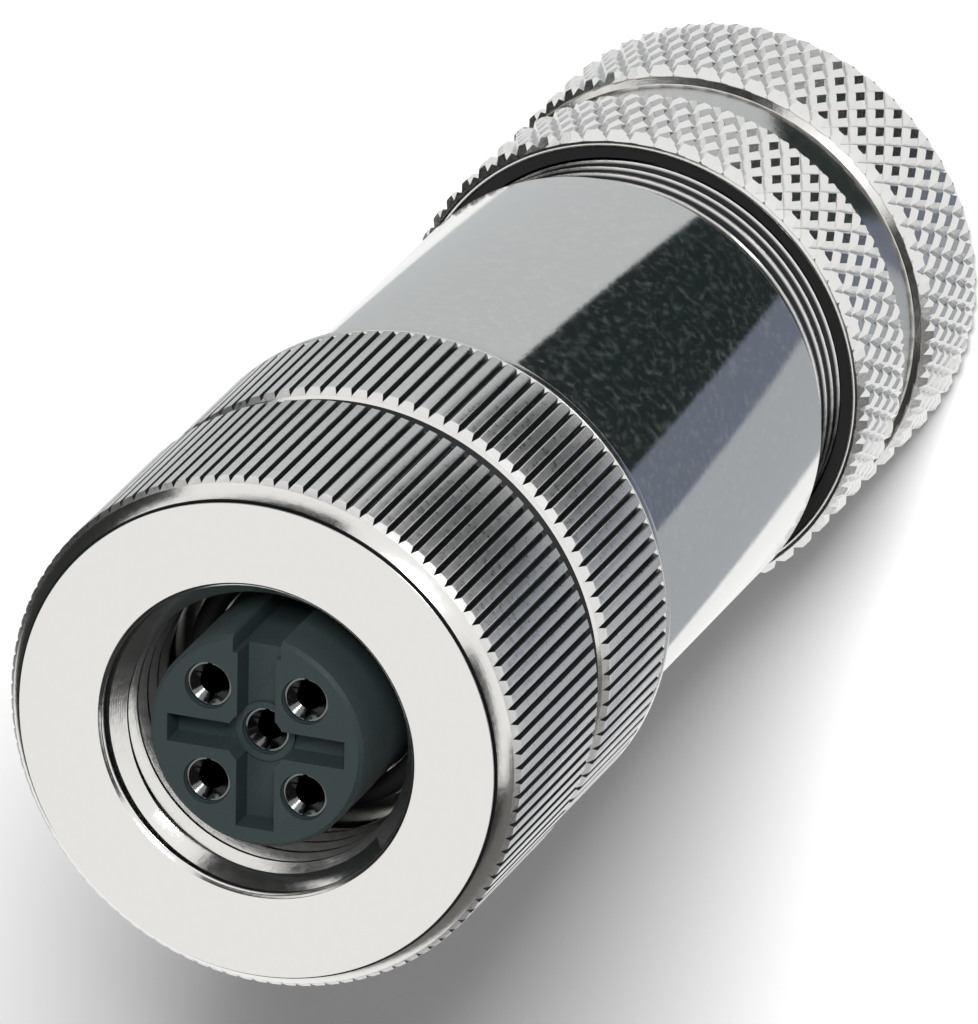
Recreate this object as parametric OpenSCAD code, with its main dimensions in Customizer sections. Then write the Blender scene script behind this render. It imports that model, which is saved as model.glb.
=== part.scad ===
// Round field-wired shielded socket connector, M12 size, five contacts, standing on its cable end.
// Millimetres, +Z up along the connector's axis, the socket face on top, the cable end at Z = 0.
// Stations along the axis are measured back from the socket face and are named *_at.

/* [Overall] */
// length from the cable end to the socket face
overall_l = 52.5; // [50:0.5:56]
// direction of the key slot round the axis, in degrees
key_dir = 90; // [0:15:345]

/* [Coupling nut] */
// radius over the ribs of the coupling nut
nut_r = 10.1; // [9.8:0.05:10.4]
// depth of the groove between two ribs
rib_depth = 0.28; // [0.2:0.02:0.4]
// ribs round the coupling nut
nut_ribs = 108; // [90:1:120]
// share of one rib pitch that is the rib's flat top
rib_top = 0.52; // [0.4:0.02:0.7]
// width of the slope round the flat front face
nut_bevel = 0.72; // [0.5:0.02:0.9]
// length of the slope from the front face to the ribs
nut_slope_l = 1; // [0.6:0.1:1.4]
// back face of the coupling nut
nut_back_at = 8.9; // [8:0.1:9.2]
// crest radius of the M12 x 1 inside thread
thread_r = 5.46; // [5.4:0.01:5.6]
// width of the bore's mouth round the thread's crests
mouth_w = 0.79; // [0.6:0.01:1]
// start of the inside thread
thread_from_at = 0.9; // [0.6:0.1:1.2]
// end of the inside thread
thread_to_at = 6; // [5.5:0.1:6.4]

/* [Contact insert] */
// radius of the insert's nose
nose_r = 4.2; // [4.1:0.05:4.4]
// radius of the circle the outer contacts stand on
contact_circle_r = 2.7; // [2.5:0.05:2.8]
// radius of a contact hole in the face
hole_r = 0.92; // [0.9:0.02:1]
// width of the cross slot that runs to the key
cross_w = 1.5; // [1.2:0.05:1.6]
// width of the cross slot that runs across
cross_side_w = 1.1; // [0.9:0.05:1.4]
// outer end of the slots of the cross
cross_r = 3.5; // [3.2:0.05:3.6]
// depth of the cross below the face
cross_depth = 1.15; // [0.8:0.05:1.6]
// width of the key slot
key_w = 1.9; // [1.6:0.1:2]
// inner end of the key slot
key_r = 3.4; // [3.2:0.1:3.6]
// length of the insert's flange
flange_l = 2.65; // [2:0.05:3]

/* [Contacts] */
// outside radius of a contact's socket
socket_r = 0.86; // [0.75:0.01:0.87]
// radius of the hole for the 1 mm pin
pin_hole_r = 0.5; // [0.48:0.01:0.52]
// depth of a contact's end below the mouth of its hole
contact_in = 0.2; // [0.1:0.05:0.4]
// radius of a contact's clamping barrel
barrel_r = 1.12; // [1.1:0.02:1.2]
// radius of a terminal screw
screw_r = 0.62; // [0.5:0.02:0.8]
// distance of the terminal screws from the insert's back end
screw_in = 3; // [2.5:0.1:3.5]

/* [Carrier] */
// step down from the coupling nut's ribs to the carrier's ribs
ring_step = 0.1; // [0:0.02:0.3]
// ribs round the carrier's ring
ring_ribs = 100; // [90:1:110]
// open gap between the coupling nut and the ring
ring_gap = 0.3; // [0.2:0.05:0.5]
// length of the ring's front slope
ring_slope_l = 1.2; // [0.8:0.1:1.5]
// length of the ring
ring_l = 7.55; // [7:0.05:8]
// length of the smooth band behind the ring's ribs
band_l = 0.45; // [0.3:0.05:0.6]
// radius of the hub the coupling nut turns on
hub_r = 6.72; // [6.6:0.02:6.8]
// length of the threaded spigot in the housing
spigot_l = 5.65; // [5:0.05:6]
// wall of the spigot round the insert
spigot_wall = 1.87; // [1.6:0.01:2]

/* [Housing] */
// radius of the polished housing
housing_r = 8.97; // [8.8:0.01:9.2]
// wall of the housing round the spigot
housing_wall = 0.97; // [0.8:0.01:1.1]
// step down from the housing to the crests of its threaded neck
neck_step = 0.57; // [0.4:0.01:0.7]
// wall of the neck
neck_wall = 1.5; // [1.3:0.05:1.7]
// thread that shows between the housing and the cap
open_thread_l = 3; // [1:0.1:5]
// thread that the cap covers
covered_thread_l = 4.4; // [4:0.1:5]

/* [Cable gland] */
// wall of the clamping cage
cage_wall = 1.11; // [0.9:0.01:1.2]
// fingers of the clamping cage
cage_fingers = 8; // [6:1:10]
// wall of the sealing bush round the cable
bush_wall = 1.68; // [1.4:0.02:2]
// length of the cone that holds the cable's shield
shield_l = 4.2; // [3.5:0.1:4.6]
// length of the seal in the cap's mouth
seal_l = 1.4; // [1.2:0.05:1.6]

/* [Pressure cap] */
// length of the pressure cap
cap_l = 13.5; // [13:0.1:14]
// step up from the housing to the diamonds of the pressure cap
cap_step = 0.53; // [0.4:0.01:0.7]
// depth of the grooves between the diamonds
diamond_depth = 0.3; // [0.2:0.02:0.4]
// diamonds round the pressure cap
diamonds = 60; // [48:1:72]
// flat share of one diamond
diamond_top = 0.34; // [0.2:0.02:0.5]
// depth of the cap's smooth groove below the diamonds' tops
groove_depth = 0.6; // [0.5:0.02:0.7]
// length of the front band of diamonds
band_a_l = 3.95; // [3.5:0.05:4.2]
// length of the back band of diamonds
band_b_l = 4.8; // [4.4:0.05:5]

/* [Hidden] */
run_fit = 0.05;
seat_fit = 0.03;
open_fit = 0.08;
eps = 0.01;
circle_steps = 96;
small_steps = 32;
face_r = nut_r - nut_bevel;
mouth_r = thread_r + mouth_w;
relief_r = thread_r + 0.81 * mouth_w;
hub_at = thread_to_at + 0.8;
nut_step_at = hub_at - 0.3;
nut_bore_r = hub_r + open_fit;
snap_at = hub_at + 0.8;
snap_l = 0.5;
snap_room = 0.35;
snap_r = hub_r + 0.38;
snap_in_r = hub_r - 0.32;
nut_groove_r = hub_r + 0.73;
ring_r = nut_r - ring_step;
band_r = ring_r + 0.02;
ring_at = nut_back_at + ring_gap;
ring_back_at = ring_at + ring_l;
ribs_end_at = ring_back_at - band_l;
spigot_at = ring_back_at + spigot_l;
flange_at = ring_at + 0.65;
flange_back_at = flange_at + flange_l;
insert_back_at = spigot_at - 0.4;
barrel_at = flange_back_at + 2;
screw_at = insert_back_at - screw_in;
contact_bore_r = 0.67 * barrel_r;
contact_bore_at = screw_at - 2.6;
collar_h = 0.15;
collar_r = hole_r + 0.25;
lead_in = 0.3;
face_cord_r = 0.42;
spigot_r = housing_r - housing_wall - run_fit;
spigot_bore_r = spigot_r - spigot_wall;
spigot_cord_r = 0.55;
spigot_groove_l = 2 * spigot_cord_r + 0.1;
flange_r = spigot_bore_r - seat_fit;
block_r = flange_r - 0.35;
cap_at = overall_l - cap_l;
shoulder_at = cap_at - open_thread_l;
shoulder_bevel = 0.35;
neck_at = cap_at + covered_thread_l;
neck_r = housing_r - neck_step;
neck_root_r = neck_r - 0.35;
neck_bore_r = neck_r - neck_wall;
room_r = spigot_r - 0.4;
shield_at = shoulder_at - 2.8;
shield_back_at = shield_at + shield_l;
shield_r = neck_bore_r - seat_fit;
shield_seat_r = neck_bore_r - 0.7;
cap_floor_at = overall_l - 1.9;
washer_l = 0.4;
washer_back_at = cap_floor_at - 0.3;
washer_at = washer_back_at - washer_l;
cage_r = neck_bore_r - open_fit;
cage_tip = 0.85;
cage_at = cap_at + 0.9;
cage_back_at = washer_at - 0.2;
bush_r = cage_r - cage_wall - seat_fit;
cable_r = bush_r - bush_wall;
bush_at = cage_at + 0.3;
bush_back_at = cage_back_at - 0.5;
entry_r = cable_r + 0.5;
washer_in_r = entry_r + 0.4;
washer_r = bush_r + 0.52;
travel_in = 2;
cap_r = housing_r + cap_step;
core_r = cap_r - diamond_depth - 0.1;
groove_r = cap_r - groove_depth;
cap_mouth_r = housing_r;
lip_r = cap_mouth_r + 0.1;
cap_bore_r = neck_r + run_fit;
seal_back_at = cap_at + seal_l;
cap_step_at = neck_at + travel_in + 0.3;
cone_at = cap_floor_at - 2.4;
cone_back_at = cap_floor_at - 1;
cone_r = cage_r + 0.78;
cone_in_r = cage_r - 0.22;
row_gap = 0.3;
band_a_at = cap_at + 0.45;
band_a_end_at = band_a_at + band_a_l;
band_b_end_at = overall_l - 1.1;
band_b_at = band_b_end_at - band_b_l;
outer_dirs = [for (n = [0 : 3]) key_dir + 45 + 90 * n];

// A turned body: its outline is a list of [radius, station behind the socket face].
module turned(outline) {
  rotate_extrude($fn = circle_steps)
    polygon([for (p = outline) [p[0], overall_l - p[1]]]);
}

// A ring of cord of radius c, its centre at radius r and station s.
module cord_ring(r, s, c) {
  translate([0, 0, overall_l - s])
    rotate_extrude($fn = circle_steps)
      translate([r, 0]) circle(r = c, $fn = small_steps);
}

// A prism with straight ribs round it, from one station to another.
module ribbed(r, ribs, from_at, to_at) {
  step = 360 / ribs;
  half = step * rib_top / 2;
  translate([0, 0, overall_l - to_at])
    linear_extrude(height = to_at - from_at)
      polygon([for (n = [0 : ribs - 1], q = [0 : 2])
        let (a = n * step + (q == 0 ? -step / 2 : q == 1 ? -half : half),
             d = q == 0 ? r - rib_depth : r)
        [d * cos(a), d * sin(a)]]);
}

// A hole or pin along the axis at a given place, between two stations.
module post(r, place, from_at, to_at) {
  translate([place[0], place[1], overall_l - to_at])
    cylinder(r = r, h = to_at - from_at, $fn = small_steps);
}

// Contacts 1 to 4 stand on the circle, and contact 5 in the middle, where its hole opens in the
// floor of the cross.
function place_of(n) = n == 5 ? [0, 0] :
  contact_circle_r * [cos(outer_dirs[n - 1]), sin(outer_dirs[n - 1])];
function mouth_at(n) = n == 5 ? cross_depth - collar_h : 0;

// A pin or hole that points outward from the axis at the terminal screws' station.
module radial(r, dir, from_r, to_r) {
  rotate([0, 0, dir]) translate([from_r, 0, overall_l - screw_at])
    rotate([0, 90, 0]) cylinder(r = r, h = to_r - from_r, $fn = small_steps);
}

module coupling_nut() {
  color([0.78, 0.78, 0.77])
  difference() {
    intersection() {
      ribbed(nut_r, nut_ribs, 0, nut_back_at);
      turned([[0, 0], [face_r, 0], [nut_r + eps, nut_slope_l + eps],
        [nut_r + eps, nut_back_at - rib_depth], [nut_r - rib_depth, nut_back_at],
        [0, nut_back_at]]);
    }
    turned([[0, -1], [mouth_r, -1], [mouth_r, 0], [mouth_r - 0.2, 0.25],
      [thread_r, thread_from_at], [thread_r, thread_to_at], [relief_r, thread_to_at],
      [relief_r, nut_step_at], [nut_bore_r, nut_step_at], [nut_bore_r, snap_at - snap_room],
      [nut_groove_r, snap_at - snap_room], [nut_groove_r, snap_at + snap_l + snap_room],
      [nut_bore_r, snap_at + snap_l + snap_room], [nut_bore_r, nut_back_at + 1],
      [0, nut_back_at + 1]]);
  }
}

module retaining_ring() {
  gap_w = 2.4;
  color([0.55, 0.56, 0.58])
  difference() {
    turned([[snap_in_r, snap_at], [snap_r, snap_at], [snap_r, snap_at + snap_l],
      [snap_in_r, snap_at + snap_l]]);
    rotate([0, 0, key_dir + 180])
      translate([0, -gap_w / 2, overall_l - snap_at - 1])
        cube([nut_r, gap_w, 2]);
  }
}

module face_seal() {
  color([0.06, 0.06, 0.06])
    cord_ring(nose_r + seat_fit * 3 + face_cord_r, hub_at - face_cord_r, face_cord_r);
}

module contact_insert() {
  bare = barrel_r + seat_fit;
  color([0.22, 0.25, 0.25])
  difference() {
    turned([[0, 0], [nose_r - 0.15, 0], [nose_r, 0.15], [nose_r, flange_at],
      [flange_r, flange_at], [flange_r, flange_back_at], [block_r, flange_back_at],
      [block_r, insert_back_at], [0, insert_back_at]]);
    for (n = [1 : 5]) {
      post(hole_r, place_of(n), -1, mouth_at(n) + contact_in);
      post(socket_r + seat_fit, place_of(n), mouth_at(n), barrel_at + 1);
      post(bare, place_of(n), barrel_at - seat_fit, insert_back_at + 1);
    }
    difference() {
      for (n = [0 : 3]) rotate([0, 0, key_dir + 90 * n])
        let (w = n % 2 == 0 ? cross_w : cross_side_w)
        translate([0, -w / 2, overall_l - cross_depth]) cube([cross_r, w, cross_depth + 1]);
      post(collar_r, [0, 0], cross_depth - collar_h, cross_depth + 1);
    }
    post(collar_r, [0, 0], -1, cross_depth - collar_h);
    rotate([0, 0, key_dir])
      translate([key_r, -key_w / 2, overall_l - nut_step_at])
        cube([nose_r, key_w, nut_step_at + 1]);
    for (n = [0 : 3]) radial(screw_r + seat_fit, outer_dirs[n], contact_circle_r, flange_r + 1);
    radial(screw_r + seat_fit, key_dir + 180, 0, flange_r + 1);
  }
}

module contact(n) {
  slot_w = 0.18;
  tip_at = mouth_at(n) + contact_in;
  color([0.82, 0.82, 0.8])
  difference() {
    union() {
      post(socket_r, place_of(n), tip_at, barrel_at);
      post(barrel_r, place_of(n), barrel_at, insert_back_at + 0.6);
    }
    post(pin_hole_r, place_of(n), tip_at - 1, tip_at + 7);
    translate([place_of(n)[0], place_of(n)[1], overall_l - tip_at - lead_in])
      cylinder(r1 = pin_hole_r, r2 = pin_hole_r + lead_in, h = lead_in + eps, $fn = small_steps);
    post(contact_bore_r, place_of(n), contact_bore_at, insert_back_at + 2);
    translate([place_of(n)[0] - slot_w / 2, place_of(n)[1] - 1, overall_l - tip_at - 5])
      cube([slot_w, 2, 6]);
    radial(screw_r + seat_fit, n == 5 ? key_dir + 180 : outer_dirs[n - 1],
      n == 5 ? 0 : contact_circle_r, flange_r + 1);
  }
}
module contact_1() { contact(1); }
module contact_2() { contact(2); }
module contact_3() { contact(3); }
module contact_4() { contact(4); }
module contact_5() { contact(5); }

module terminal_screws() {
  slot_w = 0.3;
  color([0.7, 0.7, 0.68])
  difference() {
    union() {
      for (n = [0 : 3])
        radial(screw_r, outer_dirs[n], contact_circle_r + 0.3, block_r - 0.3);
      radial(screw_r, key_dir + 180, 0.3, block_r - 0.3);
    }
    for (dir = concat(outer_dirs, [key_dir + 180])) rotate([0, 0, dir])
      translate([block_r - 0.6, -slot_w / 2, overall_l - screw_at - 1])
        cube([1, slot_w, 2]);
  }
}

module carrier_sleeve() {
  nose_bore_r = nose_r + seat_fit;
  ring_face_r = ring_r - 0.75;
  color([0.78, 0.78, 0.77])
  difference() {
    union() {
      intersection() {
        ribbed(ring_r, ring_ribs, ring_at, ribs_end_at);
        turned([[0, ring_at], [ring_face_r, ring_at], [ring_r + eps, ring_at + ring_slope_l],
          [ring_r + eps, ring_back_at], [0, ring_back_at]]);
      }
      turned([[0, hub_at], [hub_r - 0.2, hub_at], [hub_r, hub_at + 0.2], [hub_r, ring_at + 1],
        [ring_r - 1, ring_at + 1], [ring_r - 1, ribs_end_at], [band_r, ribs_end_at],
        [band_r, ring_back_at - 0.1], [band_r - 0.1, ring_back_at], [spigot_r, ring_back_at],
        [spigot_r, spigot_at - 0.4], [spigot_r - 0.4, spigot_at], [0, spigot_at]]);
    }
    turned([[0, hub_at - 1], [nose_bore_r, hub_at - 1], [nose_bore_r, flange_at],
      [spigot_bore_r, flange_at], [spigot_bore_r, spigot_at + 1], [0, spigot_at + 1]]);
    turned([[snap_in_r - 0.05, snap_at - 0.05], [nut_r, snap_at - 0.05],
      [nut_r, snap_at + snap_l + 0.05], [snap_in_r - 0.05, snap_at + snap_l + 0.05]]);
    turned([[spigot_r - 2 * spigot_cord_r, ring_back_at], [spigot_r + 1, ring_back_at],
      [spigot_r + 1, ring_back_at + spigot_groove_l],
      [spigot_r - 2 * spigot_cord_r, ring_back_at + spigot_groove_l]]);
  }
}

module carrier_seal() {
  color([0.06, 0.06, 0.06])
    cord_ring(spigot_r - spigot_cord_r + 0.01, ring_back_at + spigot_groove_l / 2,
      spigot_cord_r - 0.02);
}

module housing() {
  color([0.74, 0.75, 0.76])
    turned([[spigot_r + run_fit, ring_back_at], [housing_r, ring_back_at],
      [housing_r, shoulder_at - shoulder_bevel], [housing_r - shoulder_bevel, shoulder_at],
      [neck_root_r, shoulder_at], [neck_root_r, shoulder_at + 0.35],
      [neck_r, shoulder_at + 0.6], [neck_r, neck_at - 0.4], [neck_r - 0.4, neck_at],
      [neck_bore_r + 0.2, neck_at], [neck_bore_r, neck_at - 0.2], [neck_bore_r, shield_at],
      [shield_seat_r, shield_at], [shield_seat_r, shield_at - 1],
      [room_r, shield_at - 2], [room_r, spigot_at + 0.4], [spigot_r + run_fit, spigot_at]]);
}

module shield_cone() {
  color([0.7, 0.7, 0.7])
    turned([[cable_r + 0.4, shield_at], [shield_r, shield_at], [shield_r, shield_at + 1.2],
      [shield_seat_r - 0.5, shield_at + 1.4], [cable_r + 0.9, shield_back_at],
      [cable_r + 0.4, shield_back_at]]);
}

module clamp_cage() {
  slit_w = 1;
  color([0.12, 0.12, 0.13])
  difference() {
    turned([[bush_r + seat_fit, cage_at], [cage_r, cage_at], [cage_r, cage_back_at - cage_tip],
      [cage_r - cage_tip, cage_back_at], [bush_r + seat_fit, cage_back_at]]);
    for (n = [0 : cage_fingers - 1]) rotate([0, 0, (n + 0.5) * 360 / cage_fingers])
      translate([0, -slit_w / 2, overall_l - cage_back_at - 1])
        cube([cap_r, slit_w, cage_back_at - cage_at - 2]);
  }
}

module gland_seal() {
  color([0.05, 0.05, 0.05])
    turned([[cable_r, bush_at + 0.4], [cable_r + 0.4, bush_at], [bush_r - 0.3, bush_at],
      [bush_r, bush_at + 0.3], [bush_r, bush_back_at], [cable_r + 0.4, bush_back_at],
      [cable_r, bush_back_at - 0.4]]);
}

module slip_ring() {
  color([0.75, 0.75, 0.72])
    turned([[washer_in_r, washer_at], [washer_r, washer_at], [washer_r, washer_back_at],
      [washer_in_r, washer_back_at]]);
}

module cap_seal() {
  in_r = cap_bore_r + seat_fit;
  out_r = cap_mouth_r - seat_fit;
  color([0.04, 0.04, 0.04])
    turned([[in_r, cap_at + 0.15], [out_r, cap_at + 0.15], [out_r, seal_back_at - 0.1],
      [in_r, seal_back_at - 0.1]]);
}

// A band of raised diamonds between two stations. Every vertex is worked out from the row and
// the direction: the valleys cross at odd places, the flat tops stand at even ones.
module diamond_band(first_at, last_at, rows) {
  n = diamonds;
  high = cap_r;
  low = cap_r - diamond_depth;
  in_r = core_r - 0.2;
  half = 180 / n;
  function at(r, a, s) = [r * cos(a), r * sin(a), overall_l - s];
  function row_s(j) = j < 0 ? first_at - row_gap : j > rows ? last_at + row_gap :
    first_at + (last_at - first_at) * j / rows;
  function turn(j) = (j + 2) % 2;
  function step_to(j, q) = row_s(j) + (row_s(j + q) - row_s(j)) * diamond_top;
  pits = [for (j = [0 : rows], i = [0 : n - 1])
    at(low, (2 * i + 1 + turn(j)) * half, row_s(j))];
  heads = [for (i = [0 : n - 1]) at(low, 2 * i * half, row_s(-1))];
  tails = [for (i = [0 : n - 1]) at(low, (2 * i + turn(rows)) * half, row_s(rows + 1))];
  tops = [for (j = [0 : rows], i = [0 : n - 1], q = [0 : 3])
    let (a = (2 * i + turn(j)) * half)
    q == 0 ? at(high, a - diamond_top * half, row_s(j)) :
    q == 1 ? at(high, a, step_to(j, -1)) :
    q == 2 ? at(high, a + diamond_top * half, row_s(j)) :
    at(high, a, step_to(j, 1))];
  inner_heads = [for (i = [0 : n - 1]) at(in_r, 2 * i * half, row_s(-1))];
  inner_tails = [for (i = [0 : n - 1]) at(in_r, (2 * i + turn(rows)) * half, row_s(rows + 1))];
  h0 = len(pits);
  t0 = h0 + n;
  p0 = t0 + n;
  g0 = p0 + len(tops);
  k0 = g0 + n;
  function wrap(i) = (i + n) % n;
  function pit(j, i) = j * n + wrap(i);
  function west(j, i) = pit(j, i - 1);
  function east(j, i) = pit(j, i);
  function fore(j, i) = j == 0 ? h0 + wrap(i) : pit(j - 1, turn(j) == 1 ? i : i - 1);
  function aft(j, i) = j == rows ? t0 + wrap(i) : pit(j + 1, turn(j) == 1 ? i : i - 1);
  function top(j, i, q) = p0 + (j * n + wrap(i)) * 4 + q;
  sides = [for (j = [0 : rows], i = [0 : n - 1])
    let (c = [west(j, i), fore(j, i), east(j, i), aft(j, i)])
    for (q = [0 : 3]) let (r = (q + 1) % 4)
      each [[c[q], c[r], top(j, i, r)], [c[q], top(j, i, r), top(j, i, q)]]];
  caps = [for (j = [0 : rows], i = [0 : n - 1])
    each [[top(j, i, 0), top(j, i, 1), top(j, i, 2)], [top(j, i, 0), top(j, i, 2), top(j, i, 3)]]];
  front = [for (i = [0 : n - 1])
    each [[h0 + i, h0 + wrap(i + 1), pit(0, i)],
      [g0 + i, g0 + wrap(i + 1), h0 + wrap(i + 1)], [g0 + i, h0 + wrap(i + 1), h0 + i]]];
  back = [for (i = [0 : n - 1])
    each [[t0 + wrap(i + 1), t0 + i, pit(rows, i)],
      [k0 + wrap(i + 1), k0 + i, t0 + i], [k0 + wrap(i + 1), t0 + i, t0 + wrap(i + 1)]]];
  lining = [for (i = [0 : n - 1]) each [[g0 + wrap(i + 1), g0 + i, k0 + i],
      [g0 + wrap(i + 1), k0 + i, k0 + wrap(i + 1)]]];
  polyhedron(points = concat(pits, heads, tails, tops, inner_heads, inner_tails),
    faces = concat(sides, caps, front, back, lining), convexity = 6);
}

module pressure_cap() {
  color([0.78, 0.78, 0.77])
  difference() {
    union() {
      turned([[0, cap_at], [lip_r, cap_at], [core_r, cap_at + core_r - lip_r],
        [core_r, band_a_end_at + row_gap + 0.05], [groove_r, band_a_end_at + row_gap + 0.25],
        [groove_r, band_b_at - row_gap - 0.25], [core_r, band_b_at - row_gap - 0.05],
        [core_r, band_b_end_at + row_gap + 0.05], [core_r - 0.5, overall_l - 0.15],
        [core_r - 0.65, overall_l], [0, overall_l]]);
      diamond_band(band_a_at, band_a_end_at, 4);
      diamond_band(band_b_at, band_b_end_at, 5);
    }
    turned([[0, cap_at - 1], [cap_mouth_r, cap_at - 1], [cap_mouth_r, seal_back_at],
      [cap_bore_r, seal_back_at], [cap_bore_r, cap_step_at], [cone_r, cap_step_at],
      [cone_r, cone_at], [cone_in_r, cone_back_at], [cone_in_r, cap_floor_at],
      [entry_r, cap_floor_at], [entry_r, overall_l - 0.3], [entry_r + 0.3, overall_l],
      [entry_r + 0.3, overall_l + 1], [0, overall_l + 1]]);
  }
}

coupling_nut();
retaining_ring();
face_seal();
contact_insert();
contact_1();
contact_2();
contact_3();
contact_4();
contact_5();
terminal_screws();
carrier_sleeve();
carrier_seal();
housing();
shield_cone();
clamp_cage();
gland_seal();
slip_ring();
cap_seal();
pressure_cap();
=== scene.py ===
"""Looks of a field-wired M12 socket connector: nickel-plated brass round a black insert.

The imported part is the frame. Its turned metal pieces are made again with rounded edges, knurls and
threads, and its plastic and rubber pieces get their finish.
"""
import math

import bmesh
import bpy
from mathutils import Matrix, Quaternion, Vector


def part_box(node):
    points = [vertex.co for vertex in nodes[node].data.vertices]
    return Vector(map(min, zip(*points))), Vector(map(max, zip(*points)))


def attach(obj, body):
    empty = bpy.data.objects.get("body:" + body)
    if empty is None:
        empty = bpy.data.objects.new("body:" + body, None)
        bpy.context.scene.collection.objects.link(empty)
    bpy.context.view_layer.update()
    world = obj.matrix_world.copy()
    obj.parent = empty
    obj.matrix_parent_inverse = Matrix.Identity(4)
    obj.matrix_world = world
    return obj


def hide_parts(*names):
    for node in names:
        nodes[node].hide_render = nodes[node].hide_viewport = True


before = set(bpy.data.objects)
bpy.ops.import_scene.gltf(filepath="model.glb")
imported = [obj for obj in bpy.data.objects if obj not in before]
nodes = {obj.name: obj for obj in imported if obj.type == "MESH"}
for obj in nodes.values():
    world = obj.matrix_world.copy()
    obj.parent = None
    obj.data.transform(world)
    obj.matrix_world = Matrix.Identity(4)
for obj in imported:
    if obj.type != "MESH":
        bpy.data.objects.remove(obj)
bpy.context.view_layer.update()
mm = 0.001
face_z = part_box("coupling_nut")[1].z

# Housing. A brass sleeve, turned, polished and nickel-plated. Its front screws on the carrier, and
# its stepped-down back carries the thread for the pressure cap.
housing_r, housing_edge = 8.97 * mm, 0.3 * mm
housing_low, housing_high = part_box("housing")[0].z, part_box("housing")[1].z
shoulder_z = face_z - 36 * mm
neck_r, neck_root_r, neck_bore_r = 8.4 * mm, 7.95 * mm, 6.9 * mm
neck_pitch = 0.7 * mm
neck_thread_low, neck_thread_high = housing_low + 0.6 * mm, shoulder_z - 0.5 * mm
spigot_bore_r, spigot_bore_low = 8 * mm, face_z - 22.4 * mm
room_r, room_high, room_low = 7.55 * mm, face_z - 22.8 * mm, face_z - 31.2 * mm
lip_r, lip_high, lip_low = neck_bore_r - 0.7 * mm, face_z - 32.2 * mm, face_z - 33.2 * mm


def revolve(outline, steps=192, round_r=0.03 * mm):
    """A ring or tube from its closed outline of (radius, height), with every corner rounded."""
    bm = bmesh.new()
    corners = [bm.verts.new((r, 0, z)) for r, z in outline]
    edges = [bm.edges.new(pair) for pair in zip(corners, corners[1:] + corners[:1])]
    bmesh.ops.bevel(bm, geom=corners + edges, offset=round_r, offset_type="OFFSET", segments=3,
                    profile=0.5, affect="VERTICES", clamp_overlap=True, material=-1)
    bmesh.ops.spin(bm, geom=bm.verts[:] + bm.edges[:], cent=(0, 0, 0), axis=(0, 0, 1),
                   angle=math.tau, steps=steps, use_merge=True, use_duplicate=False)
    bmesh.ops.remove_doubles(bm, verts=bm.verts, dist=1e-7)
    bmesh.ops.recalc_face_normals(bm, faces=bm.faces)
    return bm


def thread_ridge(bm, crest_r, root_r, from_z, to_z, pitch, steps=96):
    """Adds a right-hand thread: one closed ridge, swept as a helix from one height to another."""
    side = 1 if crest_r > root_r else -1
    foot_r = root_r - side * 0.1 * mm
    half_foot, half_crest = 0.46 * pitch, pitch * 0.07
    outline = [(foot_r, -half_foot), (crest_r, -half_crest),
               (crest_r, half_crest), (foot_r, half_foot)]
    start = bm.faces.new([bm.verts.new((r, 0, from_z + z)) for r, z in outline])
    turns = (to_z - from_z) / pitch
    count = round(turns * steps)
    known = set(bm.verts) - set(start.verts)
    bmesh.ops.spin(bm, geom=[start] + start.verts[:] + start.edges[:], cent=(0, 0, 0),
                   axis=(0, 0, 1), dvec=(0, 0, (to_z - from_z) / count),
                   angle=math.tau * turns, steps=count, use_duplicate=False)
    ridge = [v for v in bm.verts if v not in known]
    for v in ridge:
        run_out = min(v.co.z - from_z + pitch / 2, to_z + pitch / 2 - v.co.z) / (pitch * 0.6)
        if abs(v.co.xy.length - crest_r) < 1e-6 and run_out < 1:
            r = root_r + (crest_r - root_r) * max(run_out, 0)
            v.co.xy = v.co.xy.normalized() * r
    bmesh.ops.recalc_face_normals(bm, faces=[f for f in bm.faces if f.verts[0] in set(ridge)])
    return ridge


def put(name, data):
    """A new object in the scene, at the origin."""
    thing = bpy.data.objects.new(name, data)
    bpy.context.scene.collection.objects.link(thing)
    return thing


def place(bm, name, body, materials, replaced):
    """Makes the finished piece, smooth but for its sharp edges, and hangs it on its body."""
    mesh = bpy.data.meshes.new(name)
    bm.to_mesh(mesh)
    bm.free()
    mesh.shade_smooth()
    mesh.set_sharp_from_angle(angle=math.radians(28))
    for material in materials:
        mesh.materials.append(material)
    piece = put(name, mesh)
    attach(piece, body)
    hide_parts(replaced)
    return piece


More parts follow.
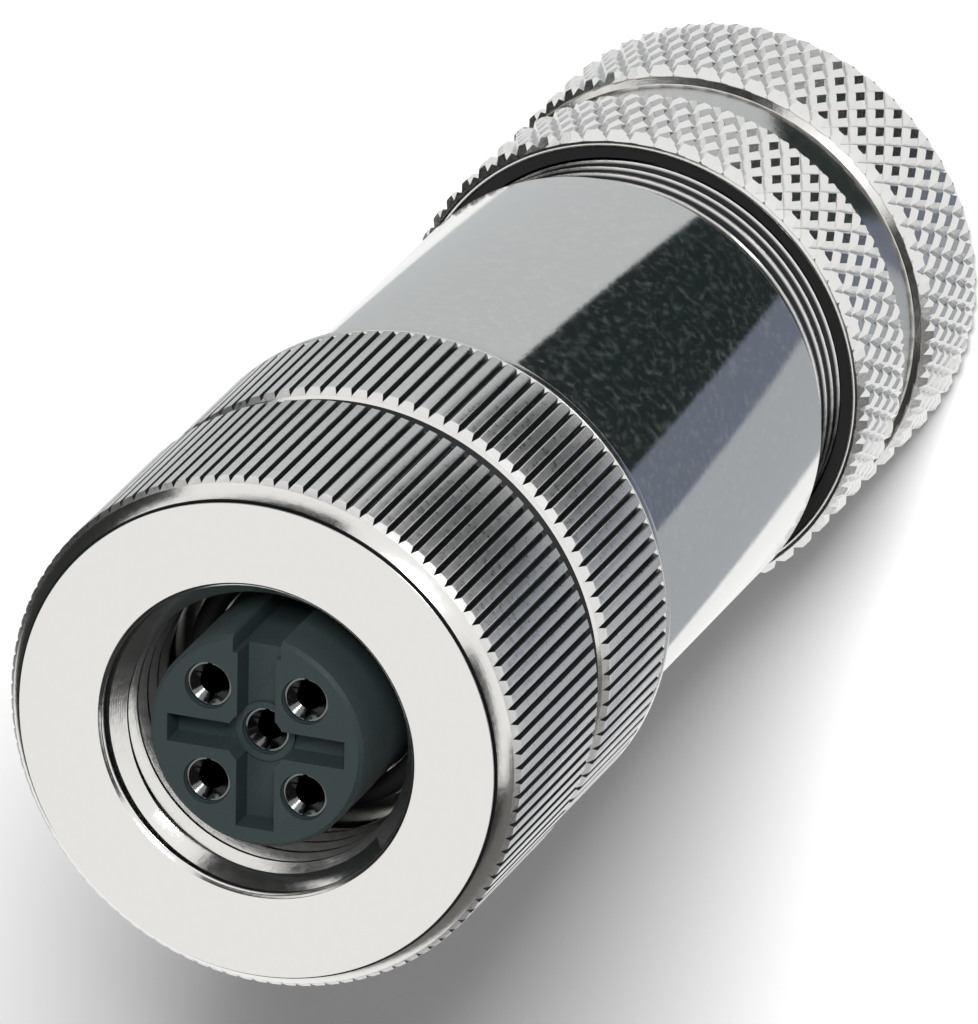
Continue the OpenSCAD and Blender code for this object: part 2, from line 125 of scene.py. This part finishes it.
def nickel(name, colour, roughness, grain, line_depth, mottle, haze=0, crest_r=None):
    """Nickel plate on turned brass: fine tool lines round the axis under an uneven polish.

    Haze is how much of the plate is dulled in patches. With a crest radius, the roots below it
    are painted dark, a painted shade in the thread.
    """
    cloud_size, bump_height, line_height = 0.35 * mm, 0.02 * mm, 0.01 * mm
    material = bpy.data.materials.new(name)
    material.use_nodes = True
    tree = material.node_tree
    shader = tree.nodes["Principled BSDF"]
    shader.inputs["Metallic"].default_value = 1
    place_on = tree.nodes.new("ShaderNodeTexCoord")
    split = tree.nodes.new("ShaderNodeSeparateXYZ")
    tree.links.new(place_on.outputs["Object"], split.inputs[0])
    flat = tree.nodes.new("ShaderNodeCombineXYZ")
    tree.links.new(split.outputs["X"], flat.inputs["X"])
    tree.links.new(split.outputs["Y"], flat.inputs["Y"])
    radius = tree.nodes.new("ShaderNodeVectorMath")
    radius.operation = "LENGTH"
    tree.links.new(flat.outputs[0], radius.inputs[0])
    ring = tree.nodes.new("ShaderNodeCombineXYZ")
    tree.links.new(radius.outputs["Value"], ring.inputs["X"])
    tree.links.new(split.outputs["Z"], ring.inputs["Z"])
    lines = tree.nodes.new("ShaderNodeTexNoise")
    lines.inputs["Scale"].default_value = 1 / grain
    lines.inputs["Detail"].default_value = 3
    tree.links.new(ring.outputs[0], lines.inputs["Vector"])
    cloud = tree.nodes.new("ShaderNodeTexNoise")
    cloud.inputs["Scale"].default_value = 1 / cloud_size
    cloud.inputs["Detail"].default_value = 6
    cloud.inputs["Roughness"].default_value = 0.65
    tree.links.new(place_on.outputs["Object"], cloud.inputs["Vector"])
    spread = tree.nodes.new("ShaderNodeMapRange")
    spread.inputs["From Min"].default_value = 0.3
    spread.inputs["From Max"].default_value = 0.7
    spread.inputs["To Min"].default_value = roughness * 0.8
    spread.inputs["To Max"].default_value = roughness * 1.25
    tree.links.new(cloud.outputs["Fac"], spread.inputs["Value"])
    tree.links.new(spread.outputs["Result"], shader.inputs["Roughness"])
    tint = tree.nodes.new("ShaderNodeMix")
    tint.data_type = "RGBA"
    tint.inputs["A"].default_value = (*[c * 0.96 for c in colour], 1)
    tint.inputs["B"].default_value = (*colour, 1)
    tree.links.new(cloud.outputs["Fac"], tint.inputs["Factor"])
    plate = tint.outputs["Result"]
    # Painted shade: the roots below the crest radius are painted near-black.
    if crest_r:
        depth = tree.nodes.new("ShaderNodeMapRange")
        depth.inputs["From Min"].default_value = crest_r - 0.12 * mm
        depth.inputs["From Max"].default_value = crest_r - 0.03 * mm
        tree.links.new(radius.outputs["Value"], depth.inputs["Value"])
        root = tree.nodes.new("ShaderNodeMix")
        root.data_type = "RGBA"
        root.inputs["A"].default_value = (0.03, 0.032, 0.035, 1)
        tree.links.new(depth.outputs["Result"], root.inputs["Factor"])
        tree.links.new(plate, root.inputs["B"])
        plate = root.outputs["Result"]
    tree.links.new(plate, shader.inputs["Base Color"])
    if haze:
        dull = tree.nodes.new("ShaderNodeMapRange")
        dull.inputs["From Min"].default_value = 0.5
        dull.inputs["From Max"].default_value = 0.7
        dull.inputs["To Min"].default_value = 1
        dull.inputs["To Max"].default_value = 1 - haze
        tree.links.new(cloud.outputs["Fac"], dull.inputs["Value"])
        tree.links.new(dull.outputs["Result"], shader.inputs["Metallic"])
    uneven = tree.nodes.new("ShaderNodeBump")
    uneven.inputs["Strength"].default_value = mottle
    uneven.inputs["Distance"].default_value = bump_height
    tree.links.new(cloud.outputs["Fac"], uneven.inputs["Height"])
    tooled = tree.nodes.new("ShaderNodeBump")
    tooled.inputs["Strength"].default_value = line_depth
    tooled.inputs["Distance"].default_value = line_height
    tree.links.new(lines.outputs["Fac"], tooled.inputs["Height"])
    tree.links.new(uneven.outputs["Normal"], tooled.inputs["Normal"])
    tree.links.new(tooled.outputs["Normal"], shader.inputs["Normal"])
    return material


polished = nickel("polished_nickel", (0.8, 0.8, 0.78), roughness=0.07, grain=0.05 * mm,
                  line_depth=0.05, mottle=0.12, haze=0.05)

bm = revolve([(spigot_bore_r, housing_high), (housing_r, housing_high),
              (housing_r, shoulder_z + housing_edge), (housing_r - housing_edge, shoulder_z),
              (neck_root_r, shoulder_z), (neck_root_r, housing_low),
              (neck_bore_r, housing_low), (neck_bore_r, lip_low), (lip_r, lip_low),
              (lip_r, lip_high), (room_r, room_low), (room_r, room_high),
              (spigot_bore_r, spigot_bore_low)])
thread_ridge(bm, neck_r, neck_root_r, neck_thread_low, neck_thread_high, neck_pitch)
for face in bm.faces:
    middle = face.calc_center_median()
    if middle.z < shoulder_z - 0.1 * mm and middle.xy.length > neck_bore_r + 0.3 * mm:
        face.material_index = 1
# The neck thread's roots are painted dark, a painted shade.
neck_thread = nickel("neck_thread", (0.8, 0.79, 0.765), roughness=0.16, grain=0.06 * mm,
                     line_depth=0.12, mottle=0.25, crest_r=neck_r)
place(bm, "housing_sleeve", "main", [polished, neck_thread], "housing")

# Carrier. A brass collar that holds the insert. Its ring is straight-knurled for the fitter's
# fingers, its hub carries the coupling nut, and its spigot screws into the housing.
carrier_ring_r, carrier_root_r, carrier_ribs = 10 * mm, 9.82 * mm, 100
carrier_face_r, carrier_front, carrier_back = 9.25 * mm, face_z - 9.2 * mm, face_z - 16.75 * mm
shaded_r, shaded_low = 9.71 * mm, face_z - 9.97 * mm
root_high, root_low, ribs_low = face_z - 10.15 * mm, face_z - 16.3 * mm, face_z - 16.35 * mm
hub_r, hub_bore_r, hub_high = 6.72 * mm, 4.23 * mm, face_z - 6.8 * mm
snap_r, snap_high, snap_low = 6.35 * mm, face_z - 7.55 * mm, face_z - 8.15 * mm
spigot_r, spigot_low = 7.95 * mm, face_z - 22.4 * mm
seal_groove_r, seal_groove_l = 6.85 * mm, 1.2 * mm
insert_bore_r, insert_seat = 6.08 * mm, face_z - 9.85 * mm


def add_ribs(bm, count, crest_r, root_r, from_z, to_z, front_slope, front_r, top_share=0.58):
    """Adds a straight knurl: one tapered bar, cut by the piece's front slope, spun round. Its
    flanks take the third material, painted dark as painted shade in the grooves."""
    cell = bmesh.new()
    foot_r, foot_turn = root_r - 0.02 * mm, math.pi / count * 0.99
    top_turn = math.pi / count * top_share
    outline = [(foot_r, -foot_turn), (root_r, -foot_turn), (crest_r, -top_turn),
               (crest_r, top_turn), (root_r, foot_turn), (foot_r, foot_turn)]
    end = cell.faces.new([cell.verts.new((r * math.cos(a), r * math.sin(a), to_z))
                          for r, a in outline])
    grown = bmesh.ops.extrude_face_region(cell, geom=[end], use_keep_orig=True)["geom"]
    bmesh.ops.translate(cell, verts=[v for v in grown if isinstance(v, bmesh.types.BMVert)],
                        vec=(0, 0, from_z - to_z))
    cut = bmesh.ops.bisect_plane(cell, geom=cell.verts[:] + cell.edges[:] + cell.faces[:],
                                 plane_co=(front_r, 0, from_z),
                                 plane_no=(1, 0, front_slope), clear_outer=True)["geom_cut"]
    bmesh.ops.contextual_create(cell, geom=[e for e in cut if isinstance(e, bmesh.types.BMEdge)])
    bmesh.ops.recalc_face_normals(cell, faces=cell.faces)
    crest = [e for e in cell.edges
             if all(v.co.xy.length > root_r + 0.02 * mm for v in e.verts)]
    bmesh.ops.bevel(cell, geom=crest, offset=0.03 * mm, segments=2, profile=0.5,
                    affect="EDGES", material=-1, clamp_overlap=True)
    bmesh.ops.spin(cell, geom=cell.verts[:] + cell.edges[:] + cell.faces[:], cent=(0, 0, 0),
                   axis=(0, 0, 1), angle=math.tau * (count - 1) / count, steps=count - 1,
                   use_duplicate=True)
    for face in cell.faces:
        x, y = face.calc_center_median().xy.normalized()
        sideways = abs(face.normal.y * x - face.normal.x * y)
        face.material_index = 2 if sideways > 0.65 else 1
    joined = bpy.data.meshes.new("knurl")
    cell.to_mesh(joined)
    bm.from_mesh(joined)
    bpy.data.meshes.remove(joined)
    cell.free()


satin = nickel("satin_nickel", (0.8, 0.79, 0.765), roughness=0.16, grain=0.06 * mm,
               line_depth=0.12, mottle=0.25)
knurled = nickel("knurled_nickel", (0.8, 0.795, 0.78), roughness=0.3, grain=0.1 * mm,
                 line_depth=0.1, mottle=0.4)
# The third material is painted shade: a near-black nickel for knurl flanks and shadow lines.
groove_shade = nickel("painted_groove_shade", (0.035, 0.036, 0.038), roughness=0.45, grain=0.1 * mm,
                line_depth=0.1, mottle=0.4)
bm = revolve([(hub_bore_r, hub_high), (hub_r, hub_high), (hub_r, snap_high),
              (snap_r, snap_high), (snap_r, snap_low), (hub_r, snap_low),
              (hub_r, carrier_front), (carrier_face_r, carrier_front),
              (shaded_r, shaded_low), (carrier_root_r, root_high), (carrier_root_r, root_low),
              (carrier_ring_r, ribs_low), (carrier_ring_r, carrier_back),
              (spigot_r, carrier_back), (seal_groove_r, carrier_back),
              (seal_groove_r, carrier_back - seal_groove_l),
              (spigot_r, carrier_back - seal_groove_l), (spigot_r, spigot_low),
              (insert_bore_r, spigot_low), (insert_bore_r, insert_seat),
              (hub_bore_r, insert_seat)])
# The lower part of the front slope takes the third material: a painted shadow line in the gap under
# the nut.
for face in bm.faces:
    middle = face.calc_center_median()
    if middle.z > face_z - 10 * mm and 9 * mm < middle.xy.length < shaded_r - 0.02 * mm:
        face.material_index = 2
add_ribs(bm, carrier_ribs, carrier_ring_r, carrier_root_r, carrier_front, ribs_low,
         front_slope=0.6, front_r=carrier_face_r)
place(bm, "carrier", "main", [satin, knurled, groove_shade], "carrier_sleeve")

# Coupling nut. It turns freely on the carrier's hub and draws the plug in with its M12 x 1 thread.
# It is turned from brass, straight-knurled and nickel-plated.
nut_r, nut_root_r, nut_ribs = 10.1 * mm, 9.92 * mm, 108
nut_face_r, nut_ribs_r, nut_back = 9.38 * mm, 9.32 * mm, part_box("coupling_nut")[0].z
ledge_r, ledge_low, ledge_high = 9.46 * mm, face_z - 0.2 * mm, face_z - 0.15 * mm
slope_low = face_z - 0.77 * mm
mouth_r, mouth_slope = 6.25 * mm, 0.88
mouth_bend = [(6.08 * mm, face_z - 0.16 * mm), (6.16 * mm, face_z - 0.12 * mm)]
thread_root_r, thread_crest_r, thread_pitch = 6 * mm, 5.46 * mm, 1 * mm
thread_high, thread_low = face_z - 0.6 * mm, face_z - 5.5 * mm
bore_high, bore_low = face_z - 0.75 * mm, face_z - 6.5 * mm
hub_hole_r, relief_r = 6.8 * mm, 7.45 * mm
relief_high, relief_low = face_z - 7.25 * mm, face_z - 8.45 * mm

bm = revolve([(thread_root_r, bore_high), *mouth_bend, (mouth_r, face_z), (nut_face_r, face_z),
              (nut_face_r, ledge_low), (ledge_r, ledge_low), (ledge_r, ledge_high),
              (nut_root_r, slope_low), (nut_root_r, nut_back), (hub_hole_r, nut_back),
              (hub_hole_r, relief_low), (relief_r, relief_low), (relief_r, relief_high),
              (hub_hole_r, relief_high), (hub_hole_r, bore_low), (thread_root_r, bore_low)])
# The small ledge round the face takes the third material: a painted dark line, painted shade in the
# step.
for face in bm.faces:
    middle = face.calc_center_median()
    out = middle.xy.length
    if middle.z < face_z - 0.06 * mm and nut_face_r - 0.01 * mm < out < ledge_r + 0.005 * mm:
        face.material_index = 2
ridge = thread_ridge(bm, thread_crest_r, thread_root_r, thread_low, thread_high, thread_pitch)
for v in ridge:
    cone_r = mouth_r - (face_z - v.co.z) * mouth_slope
    if v.co.xy.length < cone_r:
        v.co.xy = v.co.xy.normalized() * cone_r
add_ribs(bm, nut_ribs, nut_r, nut_root_r, face_z, nut_back + 0.05 * mm, front_slope=0.78,
         front_r=nut_ribs_r)
place(bm, "nut", "nut", [satin, knurled, groove_shade], "coupling_nut")

# Insert and contacts. The insert is moulded in black polyamide and holds the contacts. They are
# turned from brass, slotted at the front and plated. Their plate is painted dark, a painted shade
# for their place down in their holes.


def moulded(name, colour, roughness, grain, depth):
    """Plastic or rubber out of an eroded mould: a fine dull grain."""
    material = bpy.data.materials.new(name)
    material.use_nodes = True
    tree = material.node_tree
    shader = tree.nodes["Principled BSDF"]
    place_on = tree.nodes.new("ShaderNodeTexCoord")
    grit = tree.nodes.new("ShaderNodeTexNoise")
    grit.inputs["Scale"].default_value = 1 / grain
    grit.inputs["Detail"].default_value = 5
    tree.links.new(place_on.outputs["Object"], grit.inputs["Vector"])
    shade = tree.nodes.new("ShaderNodeMix")
    shade.data_type = "RGBA"
    shade.inputs["A"].default_value = (*[c * 0.8 for c in colour], 1)
    shade.inputs["B"].default_value = (*[c * 1.2 for c in colour], 1)
    tree.links.new(grit.outputs["Fac"], shade.inputs["Factor"])
    tree.links.new(shade.outputs["Result"], shader.inputs["Base Color"])
    spread = tree.nodes.new("ShaderNodeMapRange")
    spread.inputs["To Min"].default_value = roughness - 0.1
    spread.inputs["To Max"].default_value = roughness + 0.1
    tree.links.new(grit.outputs["Fac"], spread.inputs["Value"])
    tree.links.new(spread.outputs["Result"], shader.inputs["Roughness"])
    rough = tree.nodes.new("ShaderNodeBump")
    rough.inputs["Strength"].default_value = depth
    rough.inputs["Distance"].default_value = 0.02 * mm
    tree.links.new(grit.outputs["Fac"], rough.inputs["Height"])
    tree.links.new(rough.outputs["Normal"], shader.inputs["Normal"])
    return material


polyamide = moulded("black_polyamide", (0.017, 0.025, 0.026), roughness=0.5, grain=0.12 * mm,
                    depth=0.35)
polyamide.node_tree.nodes["Principled BSDF"].inputs["Specular IOR Level"].default_value = 0.3


def rounded_copy(name, node, body, material, round_r):
    """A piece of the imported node's own shape, its loose triangles merged and its edges broken."""
    bm = bmesh.new()
    bm.from_mesh(nodes[node].data)
    bmesh.ops.remove_doubles(bm, verts=bm.verts, dist=1e-6)
    bmesh.ops.dissolve_limit(bm, angle_limit=math.radians(0.5), verts=bm.verts, edges=bm.edges)
    piece = place(bm, name, body, [material], node)
    edge = piece.modifiers.new("edge", "BEVEL")
    edge.width = round_r
    edge.segments = 2
    edge.limit_method = "ANGLE"
    edge.angle_limit = math.radians(35)
    edge.harden_normals = True


rounded_copy("insert", "contact_insert", "main", polyamide, 0.06 * mm)


def finish_nodes(names, material):
    """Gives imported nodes, whose own shape stays, their material."""
    for name in names:
        nodes[name].data.materials.clear()
        nodes[name].data.materials.append(material)


# Painted shade: the contacts' plate is given a dark colour so that they look shaded in their holes.
contact_plate = nickel("contact_plate", (0.17, 0.175, 0.175), roughness=0.12, grain=0.05 * mm,
                       line_depth=0.1, mottle=0.2)
finish_nodes([f"contact_{number}" for number in range(1, 6)], contact_plate)

# Terminal screws and snap ring. The five grub screws that clamp the wires and the ring that keeps
# the coupling nut on its hub are bare steel.
steel = nickel("spring_steel", (0.5, 0.5, 0.52), roughness=0.3, grain=0.08 * mm,
               line_depth=0.15, mottle=0.2)
finish_nodes(["terminal_screws", "retaining_ring"], steel)

# Seals. Moulded black rubber: two O-rings at the front, the ring in the cap's mouth and the
# gland's bush, which grips the cable.
rubber = moulded("seal_rubber", (0.008, 0.008, 0.0085), roughness=0.7, grain=0.1 * mm, depth=0.3)
finish_nodes(["face_seal", "carrier_seal", "cap_seal", "gland_seal"], rubber)

# Gland. The cone under the braid is plated brass, the slotted cage is polyamide and the washer
# that the cap slides on is acetal.
cage_plastic = moulded("cage_polyamide", (0.03, 0.03, 0.032), roughness=0.45, grain=0.15 * mm,
                       depth=0.25)
washer_plastic = moulded("washer_acetal", (0.6, 0.59, 0.55), roughness=0.4, grain=0.2 * mm,
                         depth=0.15)
finish_nodes(["shield_cone"], satin)
finish_nodes(["clamp_cage"], cage_plastic)
finish_nodes(["slip_ring"], washer_plastic)

# Pressure cap. A brass nut, turned and nickel-plated, with two bands of diamond knurl. It squeezes
# the gland on the cable.
cap_r, diamond_depth = 9.5 * mm, 0.24 * mm
diamonds, row_pitch, diamond_top = 60, 0.9875 * mm, 0.46
valley_r, waist_r = cap_r - diamond_depth, 8.9 * mm
front_band = face_z - 39.13 * mm, face_z - 43.75 * mm
back_band = face_z - 46.3 * mm, face_z - 51.7 * mm
cap_high, waist_high, waist_low = face_z - 39 * mm, face_z - 43.95 * mm, face_z - 46.05 * mm
cap_mouth_r, cap_mouth_low, cap_rim_r = 8.97 * mm, face_z - 40.4 * mm, 9.07 * mm
cap_thread_r, cap_thread_low = 8.45 * mm, face_z - 45.7 * mm
gland_r, gland_low, cage_r, cage_low = 7.6 * mm, face_z - 48.2 * mm, 6.6 * mm, face_z - 49.6 * mm
entry_r, entry_high = 4.5 * mm, face_z - 50.6 * mm
back_edge = [(8.6 * mm, 0.1 * mm), (8.45 * mm, 0), (4.8 * mm, 0), (entry_r, 0.3 * mm)]


def add_diamonds(bm, front_z, back_z, first_z, slope=0.7):
    """Adds a band of diamond knurl: rows of four-sided frusta, each row half a step on, cut off
    by the band's sloping ends."""
    cell = bmesh.new()
    half = math.pi / diamonds
    sunk = 0.06 * mm
    grow = 1 + sunk / diamond_depth * (1 - diamond_top)
    rows = math.ceil((first_z - back_z) / row_pitch) + 1
    for row in range(-1, rows + 1):
        made = bmesh.ops.create_cone(cell, cap_ends=True, segments=4, radius1=grow,
                                     radius2=diamond_top, depth=diamond_depth + sunk)["verts"]
        top_edges = {e for v in made for e in v.link_edges
                     if all(w.co.z > 0 for w in e.verts)}
        for v in made:
            turn = (row % 2) * half + v.co.x * half
            r = cap_r if v.co.z > 0 else valley_r - sunk
            v.co = (r * math.cos(turn), r * math.sin(turn),
                    first_z - row * row_pitch + v.co.y * row_pitch)
        bmesh.ops.bevel(cell, geom=list(top_edges), offset=0.02 * mm, segments=1, profile=0.5,
                        affect="EDGES", material=-1, clamp_overlap=True)
    for end_z, side in ((front_z, 1), (back_z, -1)):
        cut = bmesh.ops.bisect_plane(cell, geom=cell.verts[:] + cell.edges[:] + cell.faces[:],
                                     plane_co=(valley_r, 0, end_z), plane_no=(1, 0, side * slope),
                                     clear_outer=True)["geom_cut"]
        bmesh.ops.holes_fill(cell, edges=[e for e in cut if isinstance(e, bmesh.types.BMEdge)])
    bmesh.ops.recalc_face_normals(cell, faces=cell.faces)
    bmesh.ops.spin(cell, geom=cell.verts[:] + cell.edges[:] + cell.faces[:], cent=(0, 0, 0),
                   axis=(0, 0, 1), angle=math.tau * (diamonds - 1) / diamonds,
                   steps=diamonds - 1, use_duplicate=True)
    for face in cell.faces:
        face.material_index = 1
    joined = bpy.data.meshes.new("diamonds")
    cell.to_mesh(joined)
    bm.from_mesh(joined)
    bpy.data.meshes.remove(joined)
    cell.free()


bm = revolve([(cap_mouth_r, cap_high), (cap_rim_r, cap_high),
              (valley_r, front_band[0]), (valley_r, front_band[1]),
              (waist_r, waist_high), (waist_r, waist_low),
              (valley_r, back_band[0]), (valley_r, back_band[1]), *back_edge,
              (entry_r, entry_high), (cage_r, entry_high), (cage_r, cage_low),
              (gland_r, gland_low), (gland_r, cap_thread_low), (cap_thread_r, cap_thread_low),
              (cap_thread_r, cap_mouth_low), (cap_mouth_r, cap_mouth_low)])
add_diamonds(bm, *front_band, first_z=face_z - 39.6 * mm)
add_diamonds(bm, *back_band, first_z=face_z - 46.8 * mm)
diamond_knurl = nickel("diamond_knurl", (0.8, 0.795, 0.78), roughness=0.2, grain=0.1 * mm,
                       line_depth=0.1, mottle=0.4)
place(bm, "cap", "cap", [satin, diamond_knurl], "pressure_cap")

# Studio. A pale floor under a white surround. Curved cards stand round the part and are seen only
# in its polish, and one soft lamp throws the shadow.
sight_turn, sight_rise = math.radians(50.1), math.radians(59.6)


def glow(name, colour):
    """A plain glowing colour for a card."""
    material = bpy.data.materials.new(name)
    material.use_nodes = True
    tree = material.node_tree
    tree.nodes.remove(tree.nodes["Principled BSDF"])
    light = tree.nodes.new("ShaderNodeEmission")
    light.inputs["Color"].default_value = (*colour, 1)
    tree.links.new(light.outputs[0], tree.nodes["Material Output"].inputs["Surface"])
    return material


def card(name, colour, from_turn, to_turn, low_rise, high_rise, distance=0.25):
    """A curved card on a drum round the part, in degrees. Its turns are counted from the camera's
    side, and its rises from the part's middle."""
    bm = bmesh.new()
    middle_z = 0.03
    start = sight_turn + math.radians(from_turn)
    edge = [bm.verts.new((distance * math.cos(start), distance * math.sin(start),
                          middle_z + distance * math.tan(math.radians(rise))))
            for rise in (low_rise, high_rise)]
    bmesh.ops.spin(bm, geom=edge + [bm.edges.new(edge)], cent=(0, 0, 0), axis=(0, 0, 1),
                   angle=math.radians(to_turn - from_turn), steps=24)
    mesh = bpy.data.meshes.new(name)
    bm.to_mesh(mesh)
    bm.free()
    mesh.materials.append(glow(name, colour))
    piece = put(name, mesh)
    piece.visible_camera = piece.visible_diffuse = piece.visible_shadow = False


# The low cards are mirrored by upright walls, the higher ones by slopes and knurls. The small
# bright one gives the contacts a glint.
card("card_black", (0.02, 0.027, 0.027), -31, 35, -78, -40)
card("card_slate", (0.16, 0.18, 0.23), -59, -31, -78, -40)
card("card_grey", (0.42, 0.44, 0.47), -124, -59, -78, -40)
card("card_pale", (0.57, 0.59, 0.6), 35, 145, -78, -40)
card("horizon_black", (0.03, 0.032, 0.03), 86, 172, -30, 8, 0.24)
card("horizon_grey", (0.16, 0.155, 0.15), -150, -62, -14, 8, 0.24)
card("room_right", (0.03, 0.03, 0.03), 30, 104, 19, 48, 0.24)
card("room_right_far", (0.03, 0.03, 0.03), 104, 165, 8, 40, 0.24)
card("room_left", (0.035, 0.035, 0.035), -75, -30, 19, 48, 0.24)
card("room_left_far", (0.035, 0.035, 0.035), -150, -75, 8, 48, 0.24)
card("spark", (16, 16, 16), -7, 5, 24, 34, 0.23)

bm = bmesh.new()
bmesh.ops.create_grid(bm, x_segments=1, y_segments=1, size=0.6)
mesh = bpy.data.meshes.new("floor")
bm.to_mesh(mesh)
bm.free()
floor = put("floor", mesh)
paper = bpy.data.materials.new("floor_paper")
paper.use_nodes = True
paper_shader = paper.node_tree.nodes["Principled BSDF"]
paper_shader.inputs["Base Color"].default_value = (0.85, 0.85, 0.85, 1)
paper_shader.inputs["Roughness"].default_value = 0.9
floor.data.materials.append(paper)
floor.visible_glossy = False

lamp_data = bpy.data.lights.new("key", "AREA")
lamp_data.size = 0.11
lamp_data.energy = 3
lamp = put("key", lamp_data)
lamp_turn, lamp_rise, lamp_distance = sight_turn + math.radians(14), math.radians(55), 0.45
lamp.location = lamp_distance * Vector((math.cos(lamp_turn) * math.cos(lamp_rise),
                                        math.sin(lamp_turn) * math.cos(lamp_rise),
                                        math.sin(lamp_rise)))
lamp.rotation_euler = lamp.location.to_track_quat("Z", "Y").to_euler()
lamp.visible_glossy = False

world = bpy.data.worlds.new("surround")
bpy.context.scene.world = world
world.use_nodes = True
tree = world.node_tree
path = tree.nodes.new("ShaderNodeLightPath")
# Camera, glossy and transmission rays meet a white surround, diffuse rays a dimmer one.
seen = tree.nodes.new("ShaderNodeMath")
seen.operation = "MAXIMUM"
tree.links.new(path.outputs["Is Camera Ray"], seen.inputs[0])
tree.links.new(path.outputs["Is Glossy Ray"], seen.inputs[1])
through = tree.nodes.new("ShaderNodeMath")
through.operation = "MAXIMUM"
tree.links.new(seen.outputs[0], through.inputs[0])
tree.links.new(path.outputs["Is Transmission Ray"], through.inputs[1])
level = tree.nodes.new("ShaderNodeMapRange")
level.inputs["To Min"].default_value = 0.24
level.inputs["To Max"].default_value = 1
tree.links.new(through.outputs[0], level.inputs["Value"])
tree.links.new(level.outputs["Result"], tree.nodes["Background"].inputs["Strength"])
tree.nodes["Background"].inputs["Color"].default_value = (1, 1, 1, 1)

# Camera. A long lens looks down on the socket face from the key's side, turned so that the part
# lies across the picture.
camera_distance, camera_roll = 0.9458, math.radians(-134.9)
aim = Vector((-0.63, -0.89, 26.88)) * mm
sight = Vector((math.cos(sight_turn) * math.cos(sight_rise),
                math.sin(sight_turn) * math.cos(sight_rise), math.sin(sight_rise)))
camera_data = bpy.data.cameras.new("camera")
camera_data.sensor_width = 36
camera_data.lens = 883
camera_data.clip_start, camera_data.clip_end = 0.1, 5
camera = put("camera", camera_data)
camera.location = aim + sight * camera_distance
camera.rotation_euler = (sight.to_track_quat("Z", "Y")
                         @ Quaternion((0, 0, 1), camera_roll)).to_euler()
bpy.context.scene.camera = camera
bpy.context.scene.view_settings.view_transform = "Standard"
